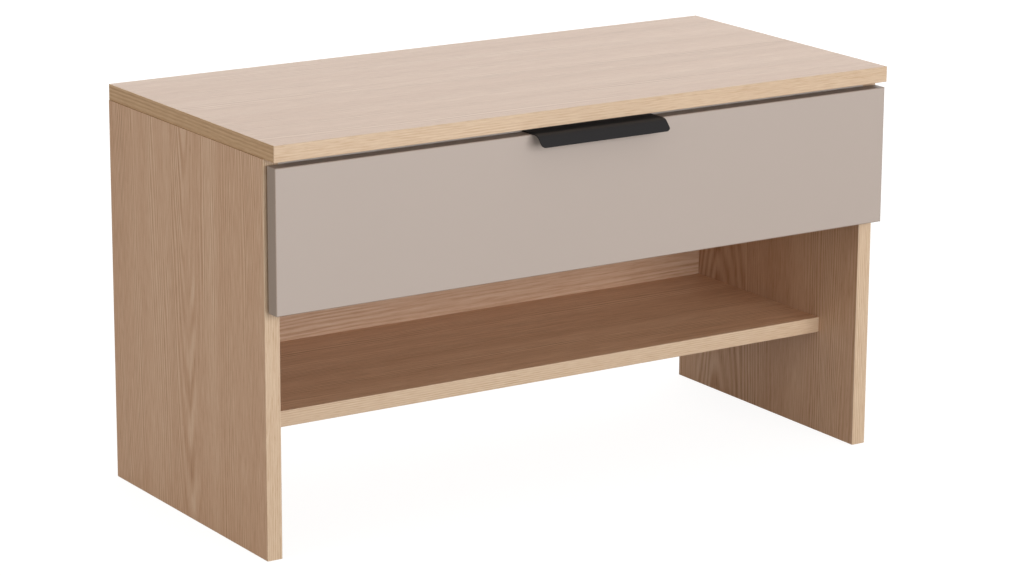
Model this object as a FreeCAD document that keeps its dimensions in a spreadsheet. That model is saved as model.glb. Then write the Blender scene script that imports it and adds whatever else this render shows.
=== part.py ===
import FreeCAD, Part
import math
import os
import Sketcher

# Entryway bench: two sides, a top used as the seat, an open shelf, a back panel and one wide drawer.
# Millimetres. +X is to the right when facing the bench, the front faces -Y, +Z is up.
# The origin is on the floor, in the middle of the bench's outline.

V = FreeCAD.Vector
os.makedirs("parts", exist_ok=True)
doc = FreeCAD.newDocument("entryway_bench")

# ---------------------------------------------------------------- driving sizes
SIZES = [
    ("overall_width", 847.0, "over the outside faces of the two sides"),
    ("overall_height", 480.0, "floor to seat"),
    ("board", 19.0, "thickness of top, sides, shelf, back panel and rail"),
    ("band", 1.0, "thickness of the edge bands"),
    ("band_round", 0.8, "rounding along the edge bands"),
    ("top_depth", 394.0, "front to back over the bands"),
    ("top_side_inset", 1.2, "top's end behind the side's outside face"),
    ("side_back_inset", 1.2, "side's back edge in front of the top's back edge"),
    ("side_front_inset", 23.0, "side's front edge behind the top's front edge"),
    ("shelf_level", 147.0, "floor to the shelf's upper face"),
    ("shelf_front_inset", 97.0, "shelf's front edge behind the top's front edge"),
    ("back_inset", 22.0, "back panel's rear face in front of the top's back edge"),
    ("rail_depth", 60.0, "front rail, front to back"),
    ("front_setback", 1.5, "drawer front's face behind the top's front edge"),
    ("front_thickness", 18.0, "drawer front"),
    ("front_side_inset", 2.9, "drawer front's end inside the side's outside face"),
    ("front_top_gap", 6.6, "drawer front's upper edge to the top's underside"),
    ("front_height", 166.6, "drawer front"),
    ("runner_back_gap", 27.0, "runner's rear end to the back panel"),
    ("runner_height", 45.0, "cabinet member"),
    ("runner_space", 12.7, "side's inside face to the drawer box"),
    ("runner_setback", 3.0, "runner's front end behind the side's front edge"),
    ("runner_sheet", 1.2, "thickness of the runner sheet"),
    ("runner_lift", 40.0, "drawer box's lower edge to the runner's middle"),
    ("box_board", 12.0, "thickness of the drawer box's boards"),
    ("box_top_gap", 20.2, "drawer box's upper edge to the front rail"),
    ("box_back_gap", 23.5, "drawer box's rear face to the back panel"),
    ("box_lift", 16.0, "drawer front's lower edge to the drawer box's lower edge"),
    ("bottom_thickness", 6.0, "drawer bottom"),
    ("bottom_lift", 10.0, "drawer box's lower edge to the drawer bottom's underside"),
    ("groove_depth", 5.0, "groove that holds the drawer bottom"),
    ("groove_play", 0.1, "clearance round the drawer bottom in its groove"),
    ("handle_length", 177.0, "edge pull"),
    ("handle_sheet", 1.5, "thickness of the edge pull"),
    ("handle_flat", 7.0, "flat part in front of the drawer front"),
    ("handle_bend", 12.0, "outside radius of the bend"),
    ("handle_slope", 47.0, "lip's slope below the horizontal, degrees"),
    ("handle_drop", 11.0, "lip's end below the drawer front's upper edge"),
    ("handle_flange", 20.0, "flange behind the drawer front"),
    ("handle_corner", 5.0, "rounding of the lip's two lower corners"),
    ("handle_screw_inset", 24.8, "edge pull's end to its screw"),
    ("fitting_inset", 60.0, "board's corner to its nearest cam lock"),
    ("fitting_gap", 25.0, "front rail's back edge to the next cam lock"),
    ("rail_cam_inset", 18.0, "front rail's front edge to its cam lock"),
    ("dowel_spacing", 32.0, "cam lock to the dowel beside it"),
    ("cam_radius", 7.5, "cam lock"),
    ("cam_depth", 12.5, "cam lock"),
    ("cam_reach", 24.0, "board's end to the middle of its cam lock"),
    ("dowel_radius", 4.0, "wooden dowel"),
    ("dowel_length", 30.0, "wooden dowel"),
    ("fit_play", 0.1, "clearance round fasteners, on the radius"),
    # worked out from the sizes above
    ("side_height", "=overall_height - board", "side panels"),
    ("inner_half", "=overall_width / 2 - board", "middle to a side's inside face"),
    ("side_middle", "=overall_width / 2 - board / 2", "middle to a side's middle plane"),
    ("top_half", "=overall_width / 2 - top_side_inset", "half the top's length"),
    ("handle_reach",
     "=handle_flat + handle_bend * sin(handle_slope) + (handle_sheet + handle_drop"
     " - handle_bend * (1 - cos(handle_slope))) / tan(handle_slope)",
     "lip's end in front of the drawer front"),
    ("back_edge", "=(top_depth - front_setback + handle_reach) / 2", "y of the top's back edge"),
    ("front_edge", "=back_edge - top_depth", "y of the top's front edge"),
    ("side_front", "=front_edge + side_front_inset", "y of the sides' front edges"),
    ("side_back", "=back_edge - side_back_inset", "y of the sides' back edges"),
    ("shelf_front", "=front_edge + shelf_front_inset", "y of the shelf's front edge"),
    ("shelf_back", "=back_edge - back_inset", "y of the back panel's rear face"),
    ("front_face", "=front_edge + front_setback", "y of the drawer front's face"),
    ("front_rear", "=front_face + front_thickness", "y of the drawer front's rear face"),
    ("front_upper", "=side_height - front_top_gap", "z of the drawer front's upper edge"),
    ("front_lower", "=front_upper - front_height", "z of the drawer front's lower edge"),
    ("front_half", "=overall_width / 2 - front_side_inset", "half the drawer front's length"),
    ("panel_front", "=shelf_back - board", "y of the back panel's front face"),
    ("box_half", "=inner_half - runner_space", "half the drawer box's width"),
    ("box_lower", "=front_lower + box_lift", "z of the drawer box's lower edge"),
    ("box_upper", "=side_height - board - box_top_gap", "z of the drawer box's upper edge"),
    ("box_height", "=box_upper - box_lower", "drawer box"),
    ("box_back", "=panel_front - box_back_gap", "y of the drawer box's rear face"),
    ("box_length", "=box_back - front_rear", "drawer box, front to back"),
    ("runner_front", "=side_front + runner_setback", "y of the runners' front ends"),
    ("runner_length", "=panel_front - runner_back_gap - runner_front", "each runner member"),
    ("runner_level", "=box_lower + runner_lift", "z of the runners' middle"),
]

sheet = doc.addObject("Spreadsheet::Sheet", "dims")
for row, (alias, entry, note) in enumerate(SIZES, start=1):
    sheet.set("A%d" % row, alias)
    sheet.set("B%d" % row, str(entry))
    sheet.set("C%d" % row, note)
    sheet.setAlias("B%d" % row, alias)
doc.recompute()

ALIASES = sorted((alias for alias, _, _ in SIZES), key=len, reverse=True)


def bound(text):
    """Write sheet names in a formula the way FreeCAD expressions need them."""
    words = str(text).replace("(", " ( ").replace(")", " ) ").split()
    return " ".join("dims." + word if word in ALIASES else word for word in words)


def value(text):
    """Number that a formula gives with the sheet's present sizes."""
    result = sheet.evalExpression(bound(text))
    return float(getattr(result, "Value", result))


# ---------------------------------------------------------------- boards and pockets
NODES = []
BOARDS = {}
FACES = {
    "+X": ("YZ_Plane", "{x} / 2", False),
    "-X": ("YZ_Plane", "-1 * {x} / 2", True),
    "+Y": ("XZ_Plane", "-1 * {y} / 2", True),
    "-Y": ("XZ_Plane", "{y} / 2", False),
    "+Z": ("XY_Plane", "{z}", False),
    "-Z": ("XY_Plane", "0", True),
}


def new_body(name, base):
    """Body named after its node and placed at base, three formulas."""
    body = doc.addObject("PartDesign::Body", name)
    body.Label = name
    for axis, formula in zip("xyz", base):
        body.setExpression(".Placement.Base." + axis, bound(formula))
    NODES.append(body)
    return body


def plane_sketch(body, name, role, offset="0"):
    """Sketch on one of the body's own origin planes, moved along its normal."""
    plane = [item for item in body.Origin.OriginFeatures if item.Role == role][0]
    sketch = body.newObject("Sketcher::SketchObject", name)
    sketch.AttachmentSupport = [(plane, "")]
    sketch.MapMode = "FlatFace"
    sketch.setExpression(".AttachmentOffset.Base.z", bound(offset))
    return sketch


def fix_point(sketch, item, corner, across, up):
    """Hold a point of a sketch at two formulas from the sketch's origin."""
    for kind, formula in (("DistanceX", across), ("DistanceY", up)):
        start = value(formula)
        number = sketch.addConstraint(Sketcher.Constraint(kind, -1, 1, item, corner, start))
        sketch.setExpression("Constraints[%d]" % number, bound(formula))


def polygon(sketch, corners):
    """Closed outline whose corners are pairs of formulas."""
    points = [V(value(across), value(up), 0) for across, up in corners]
    count = len(points)
    for index in range(count):
        sketch.addGeometry(Part.LineSegment(points[index], points[(index + 1) % count]), False)
    for index in range(count):
        sketch.addConstraint(Sketcher.Constraint("Coincident", index, 2, (index + 1) % count, 1))
    for index, (across, up) in enumerate(corners):
        fix_point(sketch, index, 1, across, up)


def pad(body, sketch, length, middle=False):
    """Extrude a sketch."""
    feature = body.newObject("PartDesign::Pad", body.Name + "_pad")
    feature.Profile = sketch
    feature.Midplane = middle
    feature.setExpression("Length", bound(length))
    sketch.Visibility = False
    doc.recompute()
    return feature


def board(name, size, base):
    """Rectangular board; base is the middle of its underside."""
    body = new_body(name, base)
    half_x = "( %s ) / 2" % size[0]
    half_y = "( %s ) / 2" % size[1]
    sketch = plane_sketch(body, name + "_outline", "XY_Plane")
    polygon(sketch, [
        ("-1 * " + half_x, "-1 * " + half_y),
        (half_x, "-1 * " + half_y),
        (half_x, half_y),
        ("-1 * " + half_x, half_y),
    ])
    pad(body, sketch, size[2])
    BOARDS[name] = (body, size, base)
    return body


def face_sketch(name, face):
    """Sketch on one outer face of a board, and whether a pocket there must be turned round."""
    body, size, base = BOARDS[name]
    role, offset, turned = FACES[face]
    offset = offset.format(x="( %s )" % size[0], y="( %s )" % size[1], z="( %s )" % size[2])
    number = sum(1 for item in body.Group if item.TypeId == "Sketcher::SketchObject")
    return plane_sketch(body, "%s_cut%d" % (name, number), role, offset), turned


def on_face(name, face, point):
    """The two sketch formulas of a point given in the bench's frame."""
    base = BOARDS[name][2]
    pair = {"X": (1, 2), "Y": (0, 2), "Z": (0, 1)}[face[1]]
    return tuple("( %s ) - ( %s )" % (point[axis], base[axis]) for axis in pair)


def cut(name, sketch, turned, depth):
    """Pocket a board, and make sure that it removed material."""
    body = BOARDS[name][0]
    before = body.Shape.Volume
    pocket = body.newObject("PartDesign::Pocket", sketch.Name + "_pocket")
    pocket.Profile = sketch
    pocket.Reversed = turned
    pocket.setExpression("Length", bound(depth))
    sketch.Visibility = False
    doc.recompute()
    if body.Shape.Volume > before - 1.0:
        raise RuntimeError("%s removed nothing from %s" % (pocket.Name, name))


def drill(name, face, points, radius, depth):
    """Round holes of one size in one face of a board."""
    sketch, turned = face_sketch(name, face)
    for index, point in enumerate(points):
        across, up = on_face(name, face, point)
        centre = V(value(across), value(up), 0)
        sketch.addGeometry(Part.Circle(centre, V(0, 0, 1), value(radius)), False)
        fix_point(sketch, index, 3, across, up)
        number = sketch.addConstraint(Sketcher.Constraint("Radius", index, value(radius)))
        sketch.setExpression("Constraints[%d]" % number, bound(radius))
    cut(name, sketch, turned, depth)


def groove(name, face, low, high, depth):
    """Straight-sided recess in one face of a board, between two corners."""
    sketch, turned = face_sketch(name, face)
    left, lower = on_face(name, face, low)
    right, upper = on_face(name, face, high)
    polygon(sketch, [(left, lower), (right, lower), (right, upper), (left, upper)])
    cut(name, sketch, turned, depth)


def round_edges(body, radius, wanted):
    """Fillet the edges of a body that pass a test, in the body's own frame."""
    tip = body.Tip
    names = ["Edge%d" % (index + 1) for index, edge in enumerate(tip.Shape.Edges) if wanted(edge)]
    fillet = body.newObject("PartDesign::Fillet", tip.Name + "_round")
    fillet.Base = (tip, names)
    fillet.setExpression("Radius", bound(radius))
    doc.recompute()


def edge_band(name, size, base, face, ends=False):
    """Edge band with the long edges of its outer face rounded, and the short ones if ends is set."""
    body = board(name, size, base)
    axis = "XYZ".index(face[1])
    box = body.Tip.Shape.BoundBox
    low = (box.XMin, box.YMin, box.ZMin)
    high = (box.XMax, box.YMax, box.ZMax)
    level = high[axis] if face[0] == "+" else low[axis]
    longest = max(high[item] - low[item] for item in range(3))

    def wanted(edge):
        flat = all(abs(vertex.Point[axis] - level) < 1e-6 for vertex in edge.Vertexes)
        return flat and (ends or edge.Length > longest - 0.01)

    round_edges(body, "band_round", wanted)
    return body


def pair(name, size, base, make=board, **options):
    """The same board on the left and on the right."""
    for side, sign in (("left", "-1 *"), ("right", "1 *")):
        place = ("%s ( %s )" % (sign, base[0]), base[1], base[2])
        make(name + "_" + side, size, place, **options)


# top, used as the seat
board("top_panel",
      ("2 * top_half - 2 * band", "top_depth - 2 * band", "board"),
      ("0", "( back_edge + front_edge ) / 2", "side_height"))
for node, level, face in (("top_band_front", "front_edge + band / 2", "-Y"),
                          ("top_band_back", "back_edge - band / 2", "+Y")):
    edge_band(node, ("2 * top_half", "band", "board"), ("0", level, "side_height"), face, ends=True)
for node, place, face in (("top_band_left", "band / 2 - top_half", "-X"),
                          ("top_band_right", "top_half - band / 2", "+X")):
    edge_band(node, ("band", "top_depth - 2 * band", "board"),
              (place, "( back_edge + front_edge ) / 2", "side_height"), face)

# sides, standing on the floor
pair("side_panel",
     ("board", "side_back - side_front - 2 * band", "side_height"),
     ("side_middle", "( side_back + side_front ) / 2", "0"))
pair("side_band_front", ("board", "band", "side_height"),
     ("side_middle", "side_front + band / 2", "0"), make=edge_band, face="-Y")
pair("side_band_back", ("board", "band", "side_height"),
     ("side_middle", "side_back - band / 2", "0"), make=edge_band, face="+Y")

# shelf, back panel standing on it, and the rail under the top's front
board("shelf_panel",
      ("2 * inner_half", "shelf_back - shelf_front - band", "board"),
      ("0", "( shelf_back + shelf_front + band ) / 2", "shelf_level - board"))
edge_band("shelf_band_front", ("2 * inner_half", "band", "board"),
          ("0", "shelf_front + band / 2", "shelf_level - board"), "-Y")
board("back_panel",
      ("2 * inner_half", "board", "side_height - shelf_level"),
      ("0", "shelf_back - board / 2", "shelf_level"))
board("front_rail",
      ("2 * inner_half", "rail_depth", "board"),
      ("0", "side_front + rail_depth / 2", "side_height - board"))

# drawer front with its four bands
FRONT_MIDDLE = "( front_face + front_rear ) / 2"
board("drawer_front_panel",
      ("2 * front_half - 2 * band", "front_thickness", "front_height - 2 * band"),
      ("0", FRONT_MIDDLE, "front_lower + band"))
for node, level, face in (("drawer_front_band_top", "front_upper - band", "+Z"),
                          ("drawer_front_band_bottom", "front_lower", "-Z")):
    edge_band(node, ("2 * front_half - 2 * band", "front_thickness", "band"),
              ("0", FRONT_MIDDLE, level), face)
for node, place, face in (("drawer_front_band_left", "band / 2 - front_half", "-X"),
                          ("drawer_front_band_right", "front_half - band / 2", "+X")):
    edge_band(node, ("band", "front_thickness", "front_height"),
              (place, FRONT_MIDDLE, "front_lower"), face, ends=True)

# drawer box
pair("drawer_box_side", ("box_board", "box_length", "box_height"),
     ("box_half - box_board / 2", "front_rear + box_length / 2", "box_lower"))
for node, middle in (("drawer_box_front", "front_rear + box_board / 2"),
                     ("drawer_box_back", "box_back - box_board / 2")):
    board(node, ("2 * box_half - 2 * box_board", "box_board", "box_height"),
          ("0", middle, "box_lower"))
BOTTOM_X = "( box_half - box_board + groove_depth - groove_play )"
board("drawer_bottom",
      ("2 * " + BOTTOM_X, "box_length - 2 * box_board + 2 * groove_depth - 2 * groove_play",
       "bottom_thickness"),
      ("0", "front_rear + box_length / 2", "box_lower + bottom_lift"))
GROOVE_LOW = "box_lower + bottom_lift - groove_play"
GROOVE_HIGH = "box_lower + bottom_lift + bottom_thickness + groove_play"
GROOVE_FRONT = "front_rear + box_board - groove_depth"
GROOVE_BACK = "box_back - box_board + groove_depth"
for node, face in (("drawer_box_side_left", "+X"), ("drawer_box_side_right", "-X")):
    groove(node, face, ("0", GROOVE_FRONT, GROOVE_LOW), ("0", GROOVE_BACK, GROOVE_HIGH),
           "groove_depth")
for node, face in (("drawer_box_front", "+Y"), ("drawer_box_back", "-Y")):
    groove(node, face, ("box_board - box_half", "0", GROOVE_LOW),
           ("box_half - box_board", "0", GROOVE_HIGH), "groove_depth")

# ---------------------------------------------------------------- edge pull
handle = new_body("handle", ("0", "front_face", "front_upper"))
outline = plane_sketch(handle, "handle_outline", "YZ_Plane")
sheet_t = value("handle_sheet")
bend = value("handle_bend")
flat = value("handle_flat")
slope = value("handle_slope")
rear = value("front_thickness")
lip_turn = FreeCAD.Rotation(V(0, 0, 1), slope)
centre = V(-flat, sheet_t - bend, 0)
outer_end = centre + lip_turn.multVec(V(0, bend, 0))
inner_end = centre + lip_turn.multVec(V(0, bend - sheet_t, 0))
drop = value("handle_drop")
reach = value("handle_reach")
run = sheet_t / lip_turn.multVec(V(1, 0, 0)).y
start_angle = V(0, 1, 0).getAngle(V(1, 0, 0))
arc_to = start_angle + lip_turn.Angle
path = [
    Part.LineSegment(V(rear + sheet_t, -value("handle_flange"), 0), V(rear + sheet_t, sheet_t, 0)),
    Part.LineSegment(V(rear + sheet_t, sheet_t, 0), V(-flat, sheet_t, 0)),
    Part.ArcOfCircle(Part.Circle(centre, V(0, 0, 1), bend), start_angle, arc_to),
    Part.LineSegment(outer_end, V(-reach, -drop, 0)),
    Part.LineSegment(V(-reach, -drop, 0), V(-reach + run, -drop, 0)),
    Part.LineSegment(V(-reach + run, -drop, 0), inner_end),
    Part.ArcOfCircle(Part.Circle(centre, V(0, 0, 1), bend - sheet_t), start_angle, arc_to),
    Part.LineSegment(V(-flat, 0, 0), V(rear, 0, 0)),
    Part.LineSegment(V(rear, 0, 0), V(rear, -value("handle_flange"), 0)),
    Part.LineSegment(V(rear, -value("handle_flange"), 0),
                     V(rear + sheet_t, -value("handle_flange"), 0)),
]
for item in path:
    outline.addGeometry(item, False)
for first, end, second, begin in ((0, 2, 1, 1), (3, 2, 4, 1), (4, 2, 5, 1), (7, 2, 8, 1),
                                  (8, 2, 9, 1), (9, 2, 0, 1), (2, 3, 6, 3)):
    outline.addConstraint(Sketcher.Constraint("Coincident", first, end, second, begin))
for first, end, second, begin in ((1, 2, 2, 1), (2, 2, 3, 1), (5, 2, 6, 2), (6, 1, 7, 1)):
    outline.addConstraint(Sketcher.Constraint("Tangent", first, end, second, begin))
for item in (1, 4, 7, 9):
    outline.addConstraint(Sketcher.Constraint("Horizontal", item))
for item in (0, 8):
    outline.addConstraint(Sketcher.Constraint("Vertical", item))
fix_point(outline, 0, 1, "front_thickness + handle_sheet", "-1 * handle_flange")
fix_point(outline, 1, 2, "-1 * handle_flat", "handle_sheet")
fix_point(outline, 3, 2, "-1 * handle_reach", "-1 * handle_drop")
fix_point(outline, 7, 2, "front_thickness", "0")
number = outline.addConstraint(Sketcher.Constraint("Radius", 2, bend))
outline.setExpression("Constraints[%d]" % number, bound("handle_bend"))
pad(handle, outline, "handle_length", middle=True)

# rounded lower corners of the lip, cut from the front
corners = plane_sketch(handle, "handle_corners", "XZ_Plane", "handle_reach + 1")
for index, sign in enumerate((-1, 1)):
    end = "%d * handle_length / 2" % sign
    inset = "%d * ( handle_length / 2 - handle_corner )" % sign
    level = "handle_corner - handle_drop"
    tip_point = V(value(end), -drop, 0)
    side_point = V(value(end), value(level), 0)
    foot_point = V(value(inset), -drop, 0)
    circle = Part.Circle(V(value(inset), value(level), 0), V(0, 0, 1), value("handle_corner"))
    quarter = (180, 270) if sign < 0 else (270, 360)
    angles = [math.radians(angle) for angle in quarter]
    start, finish = (side_point, foot_point) if sign < 0 else (foot_point, side_point)
    first = 3 * index
    corners.addGeometry(Part.ArcOfCircle(circle, angles[0], angles[1]), False)
    corners.addGeometry(Part.LineSegment(finish, tip_point), False)
    corners.addGeometry(Part.LineSegment(tip_point, start), False)
    corners.addConstraint(Sketcher.Constraint("Coincident", first, 2, first + 1, 1))
    corners.addConstraint(Sketcher.Constraint("Coincident", first + 1, 2, first + 2, 1))
    corners.addConstraint(Sketcher.Constraint("Coincident", first + 2, 2, first, 1))
    near, far = (1, 2) if sign < 0 else (2, 1)
    fix_point(corners, first, near, end, level)
    fix_point(corners, first, far, inset, "-1 * handle_drop")
    fix_point(corners, first + 1, 2, end, "-1 * handle_drop")
    number = corners.addConstraint(Sketcher.Constraint("Radius", first, value("handle_corner")))
    corners.setExpression("Constraints[%d]" % number, bound("handle_corner"))
before = handle.Shape.Volume
pocket = handle.newObject("PartDesign::Pocket", "handle_corner_pocket")
pocket.Profile = corners
pocket.Length = 12.0
doc.recompute()
if handle.Shape.Volume > before - 1.0:
    raise RuntimeError("the lip's corners are not rounded")

# ---------------------------------------------------------------- drawer runners
def runner_member(name, sign, corners):
    """Runner member: a sheet section run along the drawer's travel on one side of the bench."""
    base = ("%s * inner_half" % sign, "runner_front", "runner_level")
    body = new_body(name, base)
    sketch = plane_sketch(body, name + "_section", "XZ_Plane")
    turn = -1 * sign
    polygon(sketch, [("%d * ( %s )" % (turn, across), up) for across, up in corners])
    feature = pad(body, sketch, "runner_length")
    if body.Shape.BoundBox.YMin < value("runner_front") - 1:
        feature.Reversed = True
        doc.recompute()
    return body


def channel(back, front, lips, outer):
    """Section of a channel: web between back and front, two flanges reaching to lips."""
    inner = "( %s - runner_sheet )" % outer
    return [(back, "-1 * " + outer), (lips, "-1 * " + outer), (lips, "-1 * " + inner),
            (front, "-1 * " + inner), (front, inner), (lips, inner), (lips, outer), (back, outer)]


CABINET_OUTER = "( runner_height / 2 )"
MIDDLE_OUTER = "( runner_height / 2 - runner_sheet - 3.8 )"
DRAWER_OUTER = "( runner_height / 2 - 2 * runner_sheet - 7.6 )"
for side, sign in (("left", -1), ("right", 1)):
    runner_member("runner_cabinet_" + side, sign,
                  channel("0", "runner_sheet", "runner_space - 2.4", CABINET_OUTER))
    runner_member("runner_middle_" + side, sign,
                  channel("3.2", "3.2 + runner_sheet", "runner_space - 2", MIDDLE_OUTER))
    runner_member("runner_drawer_" + side, sign,
                  channel("runner_space", "runner_space - runner_sheet", "3.6 + 2 * runner_sheet",
                          DRAWER_OUTER))

# ---------------------------------------------------------------- joints between the boards
UP, DOWN = (0, 0, 1), (0, 0, -1)
BACK, FRONT = (0, 1, 0), (0, -1, 0)
LEFT, RIGHT = (-1, 0, 0), (1, 0, 0)
SIDES = (("left", "-1 *", RIGHT, LEFT, "+X", "-X"), ("right", "1 *", LEFT, RIGHT, "-X", "+X"))
BOLT_DEPTH = 11.5

bolts, cams, dowels = [], [], []


def cam_joint(cam_board, cam_face, end_face, bolt_board, bolt_face, points, mouth, pull, sink):
    """Cam locks in one board that draw in bolts screwed into the other.

    points are on the plane where the boards meet, in the middle of the cam board's thickness.
    mouth points out of the cam's bore, pull from the bolt board to the cam board, and sink is the
    distance from the cam board's middle plane to the face with the bores."""
    drill(bolt_board, bolt_face, points, "3", str(BOLT_DEPTH))
    drill(cam_board, end_face, points, "4", "cam_reach + 1")
    centres = []
    for point in points:
        centre = tuple("%s + %d * cam_reach" % (point[axis], pull[axis]) for axis in range(3))
        centres.append(centre)
        bolts.append((point, pull))
        face_point = tuple("%s + %d * ( %s )" % (centre[axis], mouth[axis], sink)
                           for axis in range(3))
        cams.append((face_point, mouth, pull))
    drill(cam_board, cam_face, centres, "cam_radius + fit_play", "cam_depth + 0.3")


def dowel_joint(first, first_face, second, second_face, points, along, first_depth):
    """Dowels across the plane where two boards meet; first_depth is the part in the first board."""
    drill(first, first_face, points, "dowel_radius + fit_play", "%s + 0.5" % first_depth)
    drill(second, second_face, points, "dowel_radius + fit_play",
          "dowel_length - %s + 0.5" % first_depth)
    for point in points:
        dowels.append((tuple("%s - %d * %s" % (point[axis], along[axis], first_depth)
                             for axis in range(3)), along))


SHELF_MIDDLE = "shelf_level - board / 2"
PANEL_MIDDLE = "shelf_back - board / 2"
RAIL_MIDDLE = "side_height - board / 2"
for side, sign, inward, outward, inner_face, outer_face in SIDES:
    panel = "side_panel_" + side
    middle = sign + " side_middle"
    inner = sign + " inner_half"
    # sides drawn up to the top
    fore = "side_front + rail_depth + fitting_gap"
    aft = "side_back - fitting_inset"
    spots = [(middle, fore, "side_height"), (middle, aft, "side_height")]
    cam_joint(panel, inner_face, "+Z", "top_panel", "-Z", spots, inward, DOWN, "board / 2")
    spots = [(middle, fore + " + dowel_spacing", "side_height"),
             (middle, aft + " - dowel_spacing", "side_height")]
    dowel_joint("top_panel", "-Z", panel, "+Z", spots, DOWN, "11")
    # shelf, cams in its underside
    fore = "shelf_front + fitting_inset"
    aft = "shelf_back - fitting_inset"
    spots = [(inner, fore, SHELF_MIDDLE), (inner, aft, SHELF_MIDDLE)]
    cam_joint("shelf_panel", "-Z", outer_face, panel, inner_face, spots, DOWN, inward, "board / 2")
    spots = [(inner, fore + " + dowel_spacing", SHELF_MIDDLE),
             (inner, aft + " - dowel_spacing", SHELF_MIDDLE)]
    dowel_joint(panel, inner_face, "shelf_panel", outer_face, spots, inward, "11")
    # back panel, cams in its rear face
    low = "shelf_level + fitting_inset"
    high = "side_height - fitting_inset"
    spots = [(inner, PANEL_MIDDLE, low), (inner, PANEL_MIDDLE, high)]
    cam_joint("back_panel", "+Y", outer_face, panel, inner_face, spots, BACK, inward, "board / 2")
    spots = [(inner, PANEL_MIDDLE, low + " + dowel_spacing"),
             (inner, PANEL_MIDDLE, high + " - dowel_spacing")]
    dowel_joint(panel, inner_face, "back_panel", outer_face, spots, inward, "11")
    # rail, one cam and one dowel at each end
    fore = "side_front + rail_cam_inset"
    cam_joint("front_rail", "-Z", outer_face, panel, inner_face,
              [(inner, fore, RAIL_MIDDLE)], DOWN, inward, "board / 2")
    dowel_joint(panel, inner_face, "front_rail", outer_face,
                [(inner, fore + " + dowel_spacing", RAIL_MIDDLE)], inward, "11")


# ---------------------------------------------------------------- fasteners
def revolved(steps):
    """Turned piece along +Z from a list of (radius, height) steps, starting at its foot."""
    solid = None
    level = 0.0
    for radius, height in steps:
        part = Part.makeCylinder(radius, height, V(0, 0, level), V(0, 0, 1))
        solid = part if solid is None else solid.fuse(part)
        level += height
    return solid.removeSplitter()


def cross_recess(top, size, width, depth):
    """Cross-shaped tool that is cut into a head whose upper face is at top."""
    first = Part.makeBox(size, width, depth, V(-size / 2, -width / 2, top - depth))
    second = Part.makeBox(width, size, depth, V(-width / 2, -size / 2, top - depth))
    return first.fuse(second)


def point_of(formulas):
    """Position in the bench's frame from three formulas."""
    return V(*(value(formula) for formula in formulas))


def placed(solid, foot, along):
    """Copy of a solid moved to foot, with its +Z turned to along."""
    copy = solid.copy()
    turn = FreeCAD.Placement(foot, FreeCAD.Rotation(V(0, 0, 1), V(*along)))
    copy.Placement = turn.multiply(solid.Placement)
    return copy


def group(name, solids):
    """One node made of separate identical pieces."""
    node = doc.addObject("Part::Feature", name)
    node.Label = name
    node.Shape = Part.makeCompound(solids)
    node.Placement = FreeCAD.Placement()
    NODES.append(node)


play = value("fit_play")
reach_in = value("cam_reach")
bolt = revolved([(2.9, BOLT_DEPTH - 0.5), (3.8, 2.0), (2.6, reach_in - 8.0), (1.8, 3.0), (3.3, 3.2)])
bolt.translate(V(0, 0, 0.5 - BOLT_DEPTH))
group("cam_bolts", [placed(bolt, point_of(point), along) for point, along in bolts])

cam_solids = []
for face_point, mouth, pull in cams:
    radius, depth = value("cam_radius"), value("cam_depth")
    foot = point_of(face_point) - V(*mouth) * depth
    cam = placed(Part.makeCylinder(radius, depth), foot, mouth)
    middle_point = point_of(face_point) - V(*mouth) * (value("board") / 2)
    mouth_point = middle_point - V(*pull) * (radius + 1)
    cam = cam.cut(Part.makeCylinder(3.6, radius + 5, mouth_point, V(*pull)))
    recess = placed(cross_recess(0, 8.0, 1.6, 2.4), point_of(face_point), mouth)
    cam_solids.append(cam.cut(recess))
group("cam_locks", cam_solids)

dowel = Part.makeCylinder(value("dowel_radius"), value("dowel_length"))
dowel = dowel.makeChamfer(0.8, [edge for edge in dowel.Edges if len(edge.Vertexes) == 1
                                or edge.Curve.TypeId == "Part::GeomCircle"])
group("dowels", [placed(dowel, point_of(point), along) for point, along in dowels])


def screw(shank, length, head, head_height):
    """Pan-head screw with its head's seat at z = 0 and its shank pointing down."""
    body = Part.makeCylinder(shank, length - 2, V(0, 0, 2 - length), V(0, 0, 1))
    tip = Part.makeCone(0.3, shank, 2, V(0, 0, -length), V(0, 0, 1))
    cap = Part.makeCylinder(head, head_height)
    rim = [edge for edge in cap.Edges if abs(edge.BoundBox.ZMin - head_height) < 1e-6]
    cap = cap.makeFillet(min(0.6, head_height / 2), rim[:1])
    return body.fuse([tip, cap]).removeSplitter().cut(
        cross_recess(head_height, head * 1.1, 0.9, head_height * 0.6))


# runner screws, three in each member
screw_spots = ["runner_front + 37", "runner_front + runner_length / 2",
               "runner_front + runner_length - 38"]
small = screw(1.7, 11.5, 3.2, 1.4)
fixed, moving = [], []
for side, sign, inward, outward, inner_face, outer_face in SIDES:
    web = "%s ( inner_half - runner_sheet )" % sign
    places = [(web, spot, "runner_level") for spot in screw_spots]
    fixed += [placed(small, point_of(place), inward) for place in places]
    drill("side_panel_" + side, inner_face, places, "1.8", "10.8")
    web = "%s ( inner_half - runner_space + runner_sheet )" % sign
    places = [(web, spot, "runner_level") for spot in screw_spots]
    moving += [placed(small, point_of(place), outward) for place in places]
    drill("drawer_box_side_" + side, outer_face, places, "1.8", "10.8")
group("runner_screws_cabinet", fixed)
group("runner_screws_drawer", moving)


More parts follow.
